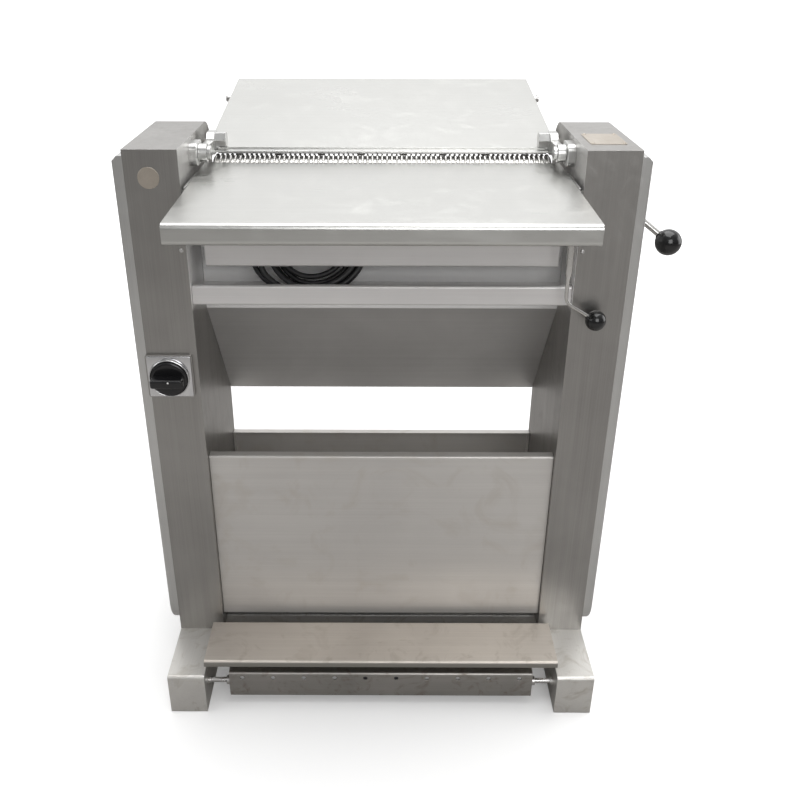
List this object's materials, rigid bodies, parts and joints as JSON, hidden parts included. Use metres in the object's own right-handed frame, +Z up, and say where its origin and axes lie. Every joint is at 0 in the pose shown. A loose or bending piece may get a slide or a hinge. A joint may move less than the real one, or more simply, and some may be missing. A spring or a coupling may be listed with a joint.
{
  "type": "meat skinning machine",
  "caption": "Floor-standing stainless skinning machine: infeed table, toothed roller under a blade, outfeed plate, skin chute, foot pedal and adjusting levers.",
  "frame": {"origin": "on the floor, at the centre of the four floor holes in the two skids", "axes": "+X to the operator's right, +Y away from the operator, +Z up"},
  "size_m": [0.7688, 0.661, 0.8704],
  "materials": {
    "satin_sheet": "satin brushed",
    "table_sheet": "fine satin",
    "machined_steel": "machined",
    "polished_rod": "polished",
    "blade_steel": "ground",
    "screws": "bright",
    "spring_steel": "drawn",
    "chain_steel": "oiled",
    "bearing_iron": "painted",
    "bush_bronze": "turned",
    "motor_paint": "satin paint",
    "gearbox_cast": "cast",
    "knob_black": "gloss",
    "switch_plastic": "fine grain",
    "switch_plate": "anodised",
    "gland_plastic": "matt",
    "cord_rubber": "matt",
    "plug_rubber": "moulded",
    "label_foil": "foil"
  },
  "bodies": {
    "frame": {"adjust_brackets": "satin_sheet", "apron": "satin_sheet", "base_crossmembers": "satin_sheet", "beam_bolts": "screws", "blank_plates": "label_foil", "cable_gland": "gland_plastic", "cable_trough": "satin_sheet", "chute_cleats": "satin_sheet", "compartment_lid": "satin_sheet", "cord_coil": "cord_rubber", "drive_chain": "chain_steel", "front_crossbar": "satin_sheet", "gearbox": "gearbox_cast", "infeed_table": "table_sheet", "left_column": "satin_sheet", "left_foot": "satin_sheet", "left_side_cover": "satin_sheet", "lift_bushes": "bush_bronze", "lower_front_panel": "satin_sheet", "motor": "motor_paint", "motor_shelf": "satin_sheet", "panel_screws": "screws", "pedal_beam": "satin_sheet", "pedal_shaft": "machined_steel", "pedal_springs": "spring_steel", "pedal_switch": "switch_plastic", "pivot_blocks": "machined_steel", "plug": "plug_rubber", "power_cord": "cord_rubber", "rear_lower_panel": "satin_sheet", "rest_studs": "machined_steel", "right_column": "satin_sheet", "right_foot": "satin_sheet", "right_side_cover": "satin_sheet", "roller_bearings": "bearing_iron", "skin_chute": "satin_sheet", "stripper_comb": "machined_steel", "switch_backplate": "switch_plastic", "switch_body": "switch_plastic", "switch_escutcheon": "switch_plate", "table_brackets": "satin_sheet", "upper_beam": "satin_sheet"},
    "roller": {"tooth_roller": "machined_steel", "roller_shaft": "machined_steel", "roller_sprocket": "chain_steel"},
    "drive_output": {"motor_sprocket": "chain_steel"},
    "blade_carrier": {"knife_holder": "machined_steel", "blade": "blade_steel", "blade_clamp": "machined_steel", "carrier_screws": "screws", "carrier_arms": "machined_steel", "outfeed_plate": "table_sheet"},
    "lift_lever": {"lift_shaft": "machined_steel", "lift_rod": "polished_rod", "lift_knob": "knob_black"},
    "thickness_lever": {"adjust_shaft": "machined_steel", "lever_rod": "polished_rod", "lever_knob": "knob_black"},
    "pedal": {"pedal_plate": "satin_sheet"},
    "switch_handle": {"switch_knob": "knob_black"}
  },
  "joints": [
    {"name": "roller_spin", "type": "hinge", "parent": "frame", "child": "roller", "pos_m": [0, 0.0375, 0.772], "axis": [1, 0, 0], "continuous": true},
    {"name": "drive_spin", "type": "hinge", "parent": "frame", "child": "drive_output", "pos_m": [-0.29, 0, 0.132], "axis": [1, 0, 0], "continuous": true},
    {"name": "carrier_tilt", "type": "hinge", "parent": "frame", "child": "blade_carrier", "pos_m": [0, -0.0295, 0.828], "axis": [1, 0, 0], "range_deg": [0, 12]},
    {"name": "lift_turn", "type": "hinge", "parent": "frame", "child": "lift_lever", "pos_m": [0.35, -0.0115, 0.784], "axis": [1, 0, 0], "range_deg": [-60, 0]},
    {"name": "thickness_turn", "type": "hinge", "parent": "frame", "child": "thickness_lever", "pos_m": [0.25, -0.1375, 0.748], "axis": [1, 0, 0], "range_deg": [-40, 0]},
    {"name": "pedal_press", "type": "hinge", "parent": "frame", "child": "pedal", "pos_m": [0, -0.1415, 0.0575], "axis": [1, 0, 0], "range_deg": [0, 7], "stiffness_Nm_per_rad": 12, "springref_deg": -6.88},
    {"name": "switch_turn", "type": "hinge", "parent": "frame", "child": "switch_handle", "pos_m": [-0.299, -0.1275, 0.535], "axis": [0, 1, 0], "range_deg": [0, 60]}
  ],
  "couplings": [
    {"joint": "drive_spin", "follows": "roller_spin", "ratio": 1.5},
    {"joint": "lift_turn", "follows": "carrier_tilt", "ratio": -5}
  ]
}
